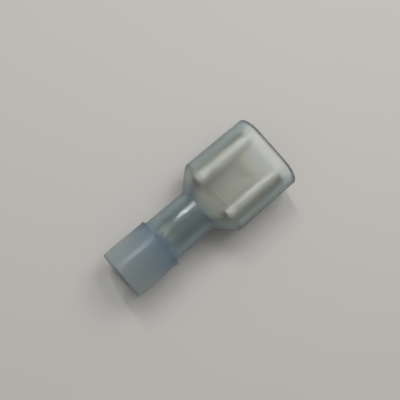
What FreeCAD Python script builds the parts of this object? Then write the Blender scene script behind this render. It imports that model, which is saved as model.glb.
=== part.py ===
import FreeCAD, Part
import math
import os

# Female spade terminal in a moulded nylon housing, for a flat 6.35 x 0.8 mm tab.
# Two pieces: the housing, and the stamped and rolled brass terminal pushed into it.
# The wire enters at the rear end (-X) and the tab at the mouth (+X).
# Sizes are in millimetres. The sketches are drawn about the wire's axis, with the rear end at x = 0,
# and the finished pieces are then set down on z = 0, centred on the origin.

# Tab that the receptacle takes
tab_width = 6.35
tab_thickness = 0.80
tab_side_play = 0.10          # at each edge of the tab
tab_grip = 0.05               # the free slot is this much thinner than the tab

# Brass strip, rolled into the barrel and the receptacle
stock = 0.40
barrel_bore_radius = 1.35
barrel_mouth_bevel = 0.15     # inside the barrel's rear edge; the nylon throat behind it is as wide
seam_gap = 0.08               # where the strip's edges meet along the barrel's top
receptacle_height = 3.45
floor_corner_radius = 0.75    # outside of the bend from the floor to the side wall
roll_radius = 1.30            # outside of the roll, from the side wall to its crown
leg_bend_radius = 0.725       # outside of the bend from the crown to the leg
scoop_radius = 2.90           # plan radius of the opening between barrel and receptacle
scoop_notch = 0.20            # how far that opening cuts back into the barrel's top
leg_lead_in_length = 0.90     # slanted front corner of each leg, which guides the tab
leg_lead_in_rise = 0.55
floor_lead_in = 0.20          # bevel on the floor's front edge
dimple_radius = 0.85          # plan radius of the raised dimple that locks in the tab's hole
dimple_rise = 0.28
dimple_setback = 1.60         # from the receptacle's front edge to the dimple's centre

# Nylon housing, outside, from the rear end to the mouth
rear_length = 5.45
neck_length = 5.20
shoulder_length = 2.30
wide_length = 8.05
wide_corner_radius = 2.40
step_lip_rise = 0.07          # small raised rim at the front of the rear section
step_lip_length = 0.35
rim_bevel = 0.12              # bevel on the outer edges at the mouth, the rear end and the step
least_flat = 0.10             # flat that a rounded outline keeps between two corners, at the least, each side

# Nylon housing, inside
side_wall = 0.70
flat_wall = 0.80              # top and bottom walls of the wide part
neck_wall = 0.775
entry_wall = 0.58
entry_radius = 2.30           # takes the wire's own insulation
entry_depth = 3.40
entry_bevel = 0.20
nose_reach = 0.50             # how far the throat reaches into the neck, up to the barrel's seat
throat_length = 0.45          # straight stretch between the cone that gathers the strands and the barrel
cavity_corner_radius = 1.55
cavity_shoulder_shift = 0.05  # the inner shoulder lies this far ahead of the outer one
mouth_bevel = 0.15            # inside edge of the mouth

# Clearances between the two pieces
barrel_clearance = 0.05       # round the barrel, and behind its rear edge
side_clearance = 0.20         # beside the receptacle
height_clearance = 0.40       # above and below it
flare_clearance = 0.15        # along X, where the terminal widens inside the shoulder
roll_setback = 0.30           # the rolls start this far behind the housing's outer shoulder edge
front_recess = 1.15           # from the mouth to the receptacle's front edge

# Places along the axis
neck_start = rear_length
shoulder_start = neck_start + neck_length
shoulder_end = shoulder_start + shoulder_length
mouth = shoulder_end + wide_length
barrel_seat = rear_length + nose_reach
cavity_start = shoulder_start + cavity_shoulder_shift
cavity_full = shoulder_end + cavity_shoulder_shift
barrel_rear = barrel_seat + barrel_clearance
flare_start = cavity_start + flare_clearance
flare_end = cavity_full + flare_clearance
roll_start = shoulder_end - roll_setback
receptacle_front = mouth - front_recess

# Half sizes and radii about the axis
barrel_radius = barrel_bore_radius + stock
floor_bottom = -barrel_radius
floor_top = floor_bottom + stock
crown = floor_bottom + receptacle_height
inside_half_width = tab_width / 2 + tab_side_play
outside_half_width = inside_half_width + stock
leg_tip = floor_top + tab_thickness - tab_grip
cavity_half_width = outside_half_width + side_clearance
cavity_half_height = max(barrel_radius, crown) + height_clearance
wide_half_width = cavity_half_width + side_wall
wide_half_height = cavity_half_height + flat_wall
neck_bore_radius = barrel_radius + barrel_clearance
neck_radius = neck_bore_radius + neck_wall
rear_radius = entry_radius + entry_wall
throat_radius = barrel_bore_radius + barrel_mouth_bevel
axis_height = max(rear_radius + step_lip_rise, wide_half_height)

over = 1.0                    # how far a cutting tool runs past the face that it opens
side_arc = math.radians(12)   # half angle of a round section's side arcs, which blend into flats
crown_arc = math.radians(24)  # the same for its top and bottom arcs


def point(x, y, z):
    return FreeCAD.Vector(x, y, z)


def line(start, end):
    return Part.LineSegment(start, end).toShape()


def arc_about(x, y, z, radius, from_angle, to_angle):
    """Arc in the plane at x, round the centre (y, z), between two angles measured from +Y."""
    middle_angle = (from_angle + to_angle) / 2
    ends = [point(x, y + radius * math.cos(a), z + radius * math.sin(a))
            for a in (from_angle, middle_angle, to_angle)]
    return Part.Arc(*ends).toShape()


def round_section(x, radius):
    """Circle in eight arcs, so that it can be blended with a rounded rectangle of eight edges."""
    quarter = math.pi / 2
    breaks = []
    for turn in range(4):
        half = side_arc if turn % 2 == 0 else crown_arc
        breaks += [turn * quarter - half, turn * quarter + half]
    breaks.append(breaks[0] + 2 * math.pi)
    edges = [arc_about(x, 0, 0, radius, breaks[i], breaks[i + 1]) for i in range(8)]
    return Part.Wire(edges)


def flat_section(x, half_width, bottom, top, bottom_radius, top_radius):
    """Rounded rectangle across the axis, with its own corner radii at the bottom and the top."""
    quarter = math.pi / 2
    low = bottom + bottom_radius
    high = top - top_radius
    top_flat = half_width - top_radius
    bottom_flat = half_width - bottom_radius
    edges = [
        line(point(x, half_width, low), point(x, half_width, high)),
        arc_about(x, top_flat, high, top_radius, 0, quarter),
        line(point(x, top_flat, top), point(x, -top_flat, top)),
        arc_about(x, -top_flat, high, top_radius, quarter, 2 * quarter),
        line(point(x, -half_width, high), point(x, -half_width, low)),
        arc_about(x, -bottom_flat, low, bottom_radius, 2 * quarter, 3 * quarter),
        line(point(x, -bottom_flat, bottom), point(x, bottom_flat, bottom)),
        arc_about(x, bottom_flat, low, bottom_radius, 3 * quarter, 4 * quarter),
    ]
    return Part.Wire(edges)


def prism(section, length):
    return Part.Face(section).extrude(point(length, 0, 0))


def blend(first_section, second_section):
    return Part.makeLoft([first_section, second_section], True, True)


def turned(profile):
    """Solid turned about the X axis from a closed outline of (x, radius) points."""
    corners = [point(x, 0, radius) for x, radius in profile]
    outline = Part.makePolygon(corners + [corners[0]])
    return Part.Face(outline).revolve(point(0, 0, 0), point(1, 0, 0), 360)


def centred_box(x_from, x_to, half_width, z_from, z_to):
    size = (x_to - x_from, 2 * half_width, z_to - z_from)
    return Part.makeBox(*size, point(x_from, -half_width, z_from))


def outer_wide_section(x, inset=0.0):
    """Outline of the wide part, drawn in from its own surface by the inset."""
    radius = min(wide_corner_radius, wide_half_height - least_flat) - inset
    half_height = wide_half_height - inset
    return flat_section(x, wide_half_width - inset, -half_height, half_height, radius, radius)


def cavity_section(x, outset=0.0):
    """Outline of the wide part's cavity, widened by the outset."""
    radius = min(cavity_corner_radius, cavity_half_height - least_flat) + outset
    half_height = cavity_half_height + outset
    return flat_section(x, cavity_half_width + outset, -half_height, half_height, radius, radius)


def housing_outside():
    lip_start = rear_length - step_lip_length
    rear_and_neck = turned([
        (0, 0),
        (0, rear_radius - rim_bevel),
        (rim_bevel, rear_radius),
        (lip_start, rear_radius),
        (rear_length - rim_bevel, rear_radius + step_lip_rise),
        (rear_length, rear_radius + step_lip_rise - rim_bevel),
        (rear_length, neck_radius),
        (shoulder_start, neck_radius),
        (shoulder_start, 0),
    ])
    shoulder = blend(round_section(shoulder_start, neck_radius), outer_wide_section(shoulder_end))
    wide = prism(outer_wide_section(shoulder_end), wide_length - rim_bevel)
    rim = blend(outer_wide_section(mouth - rim_bevel), outer_wide_section(mouth, rim_bevel))
    return rear_and_neck.fuse([shoulder, wide, rim]).removeSplitter()


def housing_inside():
    funnel_end = barrel_seat - throat_length
    bores = turned([
        (-over, 0),
        (-over, entry_radius + entry_bevel + over),
        (entry_bevel, entry_radius),
        (entry_depth, entry_radius),
        (funnel_end, throat_radius),
        (barrel_seat, throat_radius),
        (barrel_seat, neck_bore_radius),
        (cavity_start, neck_bore_radius),
        (cavity_start, 0),
    ])
    shoulder = blend(round_section(cavity_start, neck_bore_radius), cavity_section(cavity_full))
    cavity = prism(cavity_section(cavity_full), mouth - cavity_full + over)
    mouth_flare = blend(cavity_section(mouth - mouth_bevel), cavity_section(mouth, mouth_bevel))
    return bores.fuse([shoulder, cavity, mouth_flare])


def nylon_housing():
    return housing_outside().cut(housing_inside()).removeSplitter()


def barrel():
    tube = turned([
        (barrel_rear, barrel_bore_radius + barrel_mouth_bevel),
        (barrel_rear, barrel_radius),
        (flare_start, barrel_radius),
        (flare_start, barrel_bore_radius),
        (barrel_rear + barrel_mouth_bevel, barrel_bore_radius),
    ])
    seam = centred_box(barrel_rear - over, flare_start + over, seam_gap / 2, 0, barrel_radius + over)
    return tube.cut(seam)


def receptacle_outline(x, inset=0.0):
    """Closed outline round the receptacle, without the slot between its rolls."""
    return flat_section(x, outside_half_width - inset, floor_bottom + inset, crown - inset,
                        floor_corner_radius - inset, roll_radius - inset)


def barrel_and_scoop():
    """Barrel with a funnel-like web ahead of it, whose roof is cut open in a round arch."""
    outside = blend(round_section(flare_start, barrel_radius), receptacle_outline(flare_end))
    inside = blend(round_section(flare_start, barrel_bore_radius), receptacle_outline(flare_end, stock))
    web = outside.cut(inside)
    arch_centre = point(flare_start - scoop_notch + scoop_radius, 0, 0)
    opening = Part.makeCylinder(scoop_radius, cavity_half_height, arch_centre)
    return barrel().fuse(web).cut(opening)


def roll_profile(x, side):
    """One side of the rolled receptacle's section: half the floor, side wall, roll and leg."""
    quarter = math.pi / 2
    crown_y = outside_half_width - roll_radius
    roll_z = crown - roll_radius
    bend_z = crown - leg_bend_radius
    corner_y = outside_half_width - floor_corner_radius
    corner_z = floor_bottom + floor_corner_radius
    leg_face = crown_y - leg_bend_radius

    def place(y, z):
        return point(x, side * y, z)

    def arc(y, z, radius, from_angle, to_angle):
        middle_angle = (from_angle + to_angle) / 2
        ends = [place(y + radius * math.cos(a), z + radius * math.sin(a))
                for a in (from_angle, middle_angle, to_angle)]
        return Part.Arc(*ends).toShape()

    outer = [
        line(place(0, floor_bottom), place(corner_y, floor_bottom)),
        arc(corner_y, corner_z, floor_corner_radius, -quarter, 0),
        line(place(outside_half_width, corner_z), place(outside_half_width, roll_z)),
        arc(crown_y, roll_z, roll_radius, 0, quarter),
        arc(crown_y, bend_z, leg_bend_radius, quarter, 2 * quarter),
        line(place(leg_face, bend_z), place(leg_face, leg_tip)),
    ]
    inner = [
        line(place(leg_face, leg_tip), place(leg_face + stock, leg_tip)),
        line(place(leg_face + stock, leg_tip), place(leg_face + stock, bend_z)),
        arc(crown_y, bend_z, leg_bend_radius - stock, 2 * quarter, quarter),
        arc(crown_y, roll_z, roll_radius - stock, quarter, 0),
        line(place(inside_half_width, roll_z), place(inside_half_width, corner_z)),
        arc(corner_y, corner_z, floor_corner_radius - stock, 0, -quarter),
        line(place(corner_y, floor_top), place(0, floor_top)),
        line(place(0, floor_top), place(0, floor_bottom)),
    ]
    return Part.Wire(outer + inner)


def leg_lead_in():
    """Wedge across both legs that slants their lower front corners, so the tab finds the slot."""
    corners = [
        point(receptacle_front - leg_lead_in_length, 0, leg_tip),
        point(receptacle_front + over, 0, leg_tip + leg_lead_in_rise * (1 + over / leg_lead_in_length)),
        point(receptacle_front + over, 0, leg_tip),
    ]
    wedge = Part.Face(Part.makePolygon(corners + [corners[0]]))
    wedge.translate(point(0, -inside_half_width, 0))
    return wedge.extrude(point(0, 2 * inside_half_width, 0))


def floor_bevel():
    """Wedge along the floor's front edge."""
    corners = [
        point(receptacle_front - floor_lead_in, 0, floor_top),
        point(receptacle_front, 0, floor_top),
        point(receptacle_front, 0, floor_top - floor_lead_in),
    ]
    wedge = Part.Face(Part.makePolygon(corners + [corners[0]]))
    wedge.translate(point(0, -inside_half_width, 0))
    return wedge.extrude(point(0, 2 * inside_half_width, 0))


def cap_sphere(surface_z, radius):
    """Ball that stands out of a level surface by the dimple's rise, over the given plan radius."""
    ball_radius = (radius ** 2 + dimple_rise ** 2) / (2 * dimple_rise)
    centre = point(receptacle_front - dimple_setback, 0, surface_z + dimple_rise - ball_radius)
    return Part.makeSphere(ball_radius, centre)


def flare_envelope():
    """Space that the scoop's flare leaves for the receptacle, with head room over the rolls."""
    outline = flat_section(flare_end, outside_half_width, floor_bottom, crown + height_clearance / 2,
                           floor_corner_radius, floor_corner_radius)
    narrowing = blend(round_section(flare_start, barrel_radius), outline)
    return narrowing.fuse(prism(outline, receptacle_front - flare_end))


def receptacle():
    """Floor with its dimple and the two rolls, trimmed at the rear to the scoop's flare."""
    length = receptacle_front - roll_start
    sides = [prism(roll_profile(roll_start, side), length) for side in (1, -1)]
    rolled = sides[0].fuse(sides[1]).cut([leg_lead_in(), floor_bevel()]).common(flare_envelope())
    pressed_out = cap_sphere(floor_top, dimple_radius).common(
        centred_box(roll_start, receptacle_front, inside_half_width, floor_bottom, leg_tip))
    pressed_in = cap_sphere(floor_bottom, dimple_radius - stock / 2)
    return rolled.fuse(pressed_out).cut(pressed_in)


def brass_terminal():
    return barrel_and_scoop().fuse(receptacle()).removeSplitter()


def set_down(shape):
    """Move a piece from the sketching frame to the part's own frame."""
    shape.translate(point(-mouth / 2, 0, axis_height))
    return shape


os.makedirs("parts", exist_ok=True)
for node, make in {"nylon_housing": nylon_housing, "brass_terminal": brass_terminal}.items():
    piece = set_down(make())
    piece.exportStep("parts/" + node + ".step")
    box = piece.BoundBox
    print(node, "valid" if piece.isValid() else "NOT VALID", len(piece.Solids), "solid,",
          round(piece.Volume, 3), "mm3,",
          [round(v, 3) for v in (box.XMin, box.XMax, box.YMin, box.YMax, box.ZMin, box.ZMax)])
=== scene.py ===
import bpy
from mathutils import Matrix, Vector

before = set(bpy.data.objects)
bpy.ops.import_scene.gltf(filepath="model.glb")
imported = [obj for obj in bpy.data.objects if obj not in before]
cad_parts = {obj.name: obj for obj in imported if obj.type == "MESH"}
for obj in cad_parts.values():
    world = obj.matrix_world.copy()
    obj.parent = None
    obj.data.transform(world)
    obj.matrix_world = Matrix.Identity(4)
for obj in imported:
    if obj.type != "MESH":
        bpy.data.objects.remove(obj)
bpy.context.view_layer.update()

mm = 0.001
print("frame loaded:", ", ".join(sorted(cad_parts)))


def toLinear(hexColour):
    channels = [int(hexColour[i:i + 2], 16) / 255 for i in (1, 3, 5)]
    return [c / 12.92 if c <= 0.04045 else ((c + 0.055) / 1.055) ** 2.4 for c in channels]


def rgba(hexColour):
    return (*toLinear(hexColour), 1.0)


# Settings come first, because a mix node's Factor, A, B and Result depend on its data type
def addNode(tree, kind, inputs=None, **settings):
    node = tree.nodes.new(kind)
    for name, value in settings.items():
        setattr(node, name, value)
    for socket, value in (inputs or {}).items():
        if isinstance(value, bpy.types.NodeSocket):
            tree.links.new(value, node.inputs[socket])
        else:
            node.inputs[socket].default_value = value
    return node


def newMaterial(name):
    material = bpy.data.materials.new(name)
    material.use_nodes = True
    material.node_tree.nodes.clear()
    return material, material.node_tree


def finishMaterial(tree, surface, volume=None):
    output = addNode(tree, "ShaderNodeOutputMaterial", {"Surface": surface.outputs[0]})
    if volume:
        tree.links.new(volume.outputs[0], output.inputs["Volume"])


def setMaterial(piece, material):
    piece.data.materials.clear()
    piece.data.materials.append(material)


# Stops are (mm, colour) or (mm, number) in rising order, read at a distance that the shader measures
def toneRamp(tree, distance, stops):
    low, high = stops[0][0], stops[-1][0]
    share = addNode(tree, "ShaderNodeMapRange", {
        "Value": distance, "From Min": low * mm, "From Max": high * mm})
    ramp = addNode(tree, "ShaderNodeValToRGB", {"Fac": share.outputs["Result"]})
    ramp.color_ramp.interpolation = "EASE"
    marks = ramp.color_ramp.elements
    while len(marks) < len(stops):
        marks.new(0.5)  # anywhere: the next loop places them
    for mark, (x, tone) in zip(marks, stops):
        mark.position = (x - low) / (high - low)
        mark.color = rgba(tone) if isinstance(tone, str) else (tone, tone, tone, 1.0)
    return ramp.outputs["Color"]


# Nylon 66, injection moulded, natural with a blue dye: light passes it but is blurred, and its skin is satin
nylonSleeve = {
    # mm along the wire's axis from the part's middle, from the wire end to the mouth. The dye shows most at
    # the cone inside the rear section, and the last stop is painted shade: a dark line along the mouth's rim
    "tintAndRimShadeAlong": [(-10.4, "#d9e2e0"), (-7.4, "#d5dfe3"), (-5.2, "#c2d5e6"), (-4.2, "#d2e0e4"),
                  (0.2, "#d2e0e4"), (1.8, "#fdfefd"), (10.2, "#fcfdfc"), (10.5, "#a6adaf")],
    # never under 0.28, where the flat top begins to render with a fine grain
    "roughAlong": [(-10.4, 0.34), (-5.2, 0.38), (-4.6, 0.36), (1.6, 0.35), (2.8, 0.28)],
    # how much of the light gets in: the rest is scattered back as a milky haze
    "clearAlong": [(-10.4, 0.88), (-5.0, 0.88), (-3.4, 0.92), (0.2, 0.92), (2.6, 0.96)],
    "flankShadeTint": "#f6ffff",       # painted shade: the side walls, seen edge-on, are tinted cooler
    "flankRoughness": 0.38,
    "flankMm": (2.8, 3.7),        # off the middle plane: where that begins, and where it is full
    "throughColour": "#b0cccf",   # what is left of white light deep in the wall
    "absorptionPerMetre": 250,
    "ior": 1.53,
    "glossLevel": 0.12,           # the spark-eroded mould leaves less glare than a polished one
    "skinGloss": 0.15,            # a thin smooth skin, which mirrors the two panes as small sharp stripes
    "skinRoughness": 0.06,
    "grainMm": 0.30,              # spark-eroded mould skin, drawn coarse enough to show
    "grainDetail": 3.0,
    "grainStrength": 0.25,
    "grainHeightMm": 0.02,
}


def mouldedNylon(spec):
    material, tree = newMaterial("mouldedBlueNylon")
    place = addNode(tree, "ShaderNodeTexCoord")
    spot = addNode(tree, "ShaderNodeSeparateXYZ", {"Vector": place.outputs["Object"]})
    offMiddle = addNode(tree, "ShaderNodeMath", {0: spot.outputs["Y"]}, operation="ABSOLUTE")
    flankStart, flankFull = spec["flankMm"]
    # painted shade: where this mask is full, the side walls are tinted cooler
    flank = addNode(tree, "ShaderNodeMapRange", {
        "Value": offMiddle.outputs["Value"], "From Min": flankStart * mm, "From Max": flankFull * mm},
        interpolation_type="SMOOTHSTEP")
    # painted shade: the last stop of the ramp along the wire darkens the mouth's rim
    tint = addNode(tree, "ShaderNodeMix", {
        "Factor": flank.outputs["Result"], "A": toneRamp(tree, spot.outputs["X"], spec["tintAndRimShadeAlong"]),
        "B": rgba(spec["flankShadeTint"])}, data_type="RGBA", blend_type="MULTIPLY")
    roughness = addNode(tree, "ShaderNodeMix", {
        "Factor": flank.outputs["Result"], "A": toneRamp(tree, spot.outputs["X"], spec["roughAlong"]),
        "B": spec["flankRoughness"]})
    grain = addNode(tree, "ShaderNodeTexNoise", {
        "Vector": place.outputs["Object"], "Scale": 1 / (spec["grainMm"] * mm),
        "Detail": spec["grainDetail"]})
    bump = addNode(tree, "ShaderNodeBump", {
        "Height": grain.outputs["Fac"], "Strength": spec["grainStrength"],
        "Distance": spec["grainHeightMm"] * mm})
    gloss = spec["glossLevel"]
    shader = addNode(tree, "ShaderNodeBsdfPrincipled", {
        "Base Color": tint.outputs["Result"], "Roughness": roughness.outputs["Result"], "IOR": spec["ior"],
        "Specular Tint": (gloss, gloss, gloss, 1.0),
        "Transmission Weight": toneRamp(tree, spot.outputs["X"], spec["clearAlong"]),
        "Coat Weight": spec["skinGloss"], "Coat Roughness": spec["skinRoughness"],
        "Normal": bump.outputs["Normal"]})
    volume = addNode(tree, "ShaderNodeVolumeAbsorption", {
        "Color": rgba(spec["throughColour"]), "Density": spec["absorptionPerMetre"]})
    finishMaterial(tree, shader, volume)
    return material


setMaterial(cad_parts["nylon_housing"], mouldedNylon(nylonSleeve))
print("nylon sleeve finished")


# Stamped and rolled brass, tinned: a soft grey-white metal sheen, with bare brass on the cut edges
tinnedTerminal = {
    "tinAndBarrelShadeAlong": [  # mm along the wire's axis: painted shade darkens the barrel, which lies in shade inside the neck, yellower at its rear end; matt and pale from the scoop on
        (-4.2, "#c0bc90"), (-2.8, "#8c9088"), (0.2, "#8c9088"), (1.2, "#e6e2d8"), (9.3, "#ece8de")],
    # mm above the work top: painted shade, darker and warmer down between the rolls
    "paintedShadeByHeight": [(1.6, "#d2cfc4"), (4.2, "#ffffff")],
    # mm off the middle plane times how squarely a face looks away from it: painted shade on the rolls'
    # outward faces, painted light on their inward faces
    "paintedLightAndShadeByFacing": [(-1.6, "#ffffff"), (-0.1, "#ebebeb"), (2.0, "#bcb8ae")],
    "mottle": "#b9b4a4",           # the tin's crystals, a little darker and warmer here and there
    "mottleMm": 0.45,              # drawn coarse enough to show
    "mottleDetail": 4.0,
    "mottleEdges": (0.35, 0.65),   # of the noise: where a patch begins, and where it is full
    "mottleShare": 0.5,
    "brass": "#b4a888",
    "cutEdge": (0.85, 0.95),       # how squarely a face looks along the wire, where brass begins and is full
    "metallic": 1.0,
    "roughness": 0.65,
}


def tinnedBrass(spec):
    material, tree = newMaterial("tinPlatedBrass")
    place = addNode(tree, "ShaderNodeTexCoord")
    spot = addNode(tree, "ShaderNodeSeparateXYZ", {"Vector": place.outputs["Object"]})
    facing = addNode(tree, "ShaderNodeSeparateXYZ", {"Vector": place.outputs["Normal"]})
    # painted light and shade: how far out a face lies and how squarely it turns outward
    outward = addNode(tree, "ShaderNodeMath", {
        0: spot.outputs["Y"], 1: facing.outputs["Y"]}, operation="MULTIPLY")
    alongWire = addNode(tree, "ShaderNodeMath", {0: facing.outputs["X"]}, operation="ABSOLUTE")
    crystals = addNode(tree, "ShaderNodeTexNoise", {
        "Vector": place.outputs["Object"], "Scale": 1 / (spec["mottleMm"] * mm),
        "Detail": spec["mottleDetail"]})
    patchStart, patchFull = spec["mottleEdges"]
    patches = addNode(tree, "ShaderNodeMapRange", {
        "Value": crystals.outputs["Fac"], "From Min": patchStart, "From Max": patchFull,
        "To Max": spec["mottleShare"]})
    # painted shade: the ramp along the wire darkens the barrel
    tin = addNode(tree, "ShaderNodeMix", {
        "Factor": patches.outputs["Result"], "A": toneRamp(tree, spot.outputs["X"], spec["tinAndBarrelShadeAlong"]),
        "B": rgba(spec["mottle"])}, data_type="RGBA", blend_type="MULTIPLY")
    # painted light and shade: darker low down between the rolls and on faces turned outward, lighter on
    # faces turned inward
    for distance, stops in ((spot.outputs["Z"], "paintedShadeByHeight"), (outward.outputs["Value"], "paintedLightAndShadeByFacing")):
        tin = addNode(tree, "ShaderNodeMix", {
            "Factor": 1.0, "A": tin.outputs["Result"], "B": toneRamp(tree, distance, spec[stops])},
            data_type="RGBA", blend_type="MULTIPLY")
    bareStart, bareFull = spec["cutEdge"]
    bare = addNode(tree, "ShaderNodeMapRange", {
        "Value": alongWire.outputs["Value"], "From Min": bareStart, "From Max": bareFull})
    metal = addNode(tree, "ShaderNodeMix", {
        "Factor": bare.outputs["Result"], "A": tin.outputs["Result"], "B": rgba(spec["brass"])},
        data_type="RGBA")
    shader = addNode(tree, "ShaderNodeBsdfPrincipled", {
        "Base Color": metal.outputs["Result"], "Metallic": spec["metallic"], "Roughness": spec["roughness"]})
    finishMaterial(tree, shader)
    return material


setMaterial(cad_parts["brass_terminal"], tinnedBrass(tinnedTerminal))
print("terminal finished")


# Work top, white melamine laminate, pressed on a fine matt plate: plain and pale, with only a faint sheen
workTop = {
    "halfWidth": 0.6,   # metres
    "colour": "#aba8a3",
    "roughness": 0.60,
}


def makeWorkTop(spec):
    half = spec["halfWidth"]
    mesh = bpy.data.meshes.new("workTop")
    corners = [(-half, -half, 0), (half, -half, 0), (half, half, 0), (-half, half, 0)]
    mesh.from_pydata(corners, [], [(0, 1, 2, 3)])
    top = bpy.data.objects.new("workTop", mesh)
    bpy.context.scene.collection.objects.link(top)
    material, tree = newMaterial("melamineLaminate")
    shader = addNode(tree, "ShaderNodeBsdfPrincipled", {
        "Base Color": rgba(spec["colour"]), "Roughness": spec["roughness"]})
    finishMaterial(tree, shader)
    setMaterial(top, material)


makeWorkTop(workTop)
print("work top laid")


# Room light: a pale room, brightest overhead, with one broad near lamp and two narrow panes far off
roomLight = {
    "worldColour": "#e4e4e6",
    "worldStrengths": (0.40, 0.80),    # of the darkest and of the brightest part of the room
    "brightSide": (0.0, 0.40, 0.92),   # towards the brightest part
    # metres: the softbox lights the part and casts its shadow, farPane is the highlight on the neck, and
    # doorway is the stripe along the rear section
    "lamps": {
        "softbox": {"towards": (0.53, 0.10, 0.84), "away": 0.20, "size": (0.113, 0.113), "watts": 0.187},
        "farPane": {"towards": (0.188, 0.57, 0.80), "away": 0.60, "size": (0.025, 0.20), "watts": 0.82},
        "doorway": {"towards": (0.073, 0.53, 0.845), "away": 0.60, "size": (0.05, 0.22), "watts": 0.36},
    },
}


def makeRoom(spec):
    world = bpy.data.worlds.new("paleRoom")
    bpy.context.scene.world = world
    world.use_nodes = True
    tree = world.node_tree
    tree.nodes.clear()
    place = addNode(tree, "ShaderNodeTexCoord")
    towards = addNode(tree, "ShaderNodeVectorMath", {
        0: place.outputs["Generated"], 1: Vector(spec["brightSide"]).normalized()}, operation="DOT_PRODUCT")
    low, high = spec["worldStrengths"]
    strength = addNode(tree, "ShaderNodeMapRange", {
        "Value": towards.outputs["Value"], "To Min": low, "To Max": high})
    light = addNode(tree, "ShaderNodeBackground", {
        "Color": rgba(spec["worldColour"]), "Strength": strength.outputs["Result"]})
    addNode(tree, "ShaderNodeOutputWorld", {"Surface": light.outputs[0]})


def makeLamp(name, spec):
    data = bpy.data.lights.new(name, "AREA")
    data.shape = "RECTANGLE"
    data.size, data.size_y = spec["size"]
    data.energy = spec["watts"]
    lamp = bpy.data.objects.new(name, data)
    back = Vector(spec["towards"]).normalized()
    up = back.cross((1, 0, 0)).normalized()  # so that the lamp's width runs along the sleeve
    turn = Matrix((up.cross(back), up, back)).transposed().to_4x4()
    lamp.matrix_world = Matrix.Translation(back * spec["away"]) @ turn
    bpy.context.scene.collection.objects.link(lamp)


makeRoom(roomLight)
for name, spec in roomLight["lamps"].items():
    makeLamp(name, spec)
print("light set")


# Camera: held over the wire end, looking down at the sleeve lying across the picture
viewpoint = {
    "eyeMm": (-12.63, -3.344, 65.528),
    "aimMm": (1.229, 0.740, 2.95),
    "upHint": (0.6312, 0.7522, 0.1889),
    "lensMm": 53.18,
    "sensorMm": 36.0,
    "nearestMm": 1.0,
}


def makeCamera(spec):
    eye = Vector(spec["eyeMm"]) * mm
    back = (eye - Vector(spec["aimMm"]) * mm).normalized()
    right = Vector(spec["upHint"]).cross(back).normalized()
    up = back.cross(right)
    data = bpy.data.cameras.new("camera")
    data.lens = spec["lensMm"]
    data.sensor_width = spec["sensorMm"]
    data.clip_start = spec["nearestMm"] * mm
    camera = bpy.data.objects.new("camera", data)
    camera.matrix_world = Matrix.Translation(eye) @ Matrix((right, up, back)).transposed().to_4x4()
    bpy.context.scene.collection.objects.link(camera)
    bpy.context.scene.camera = camera


makeCamera(viewpoint)
print("camera placed")
bpy.context.scene.view_settings.view_transform = "Standard"
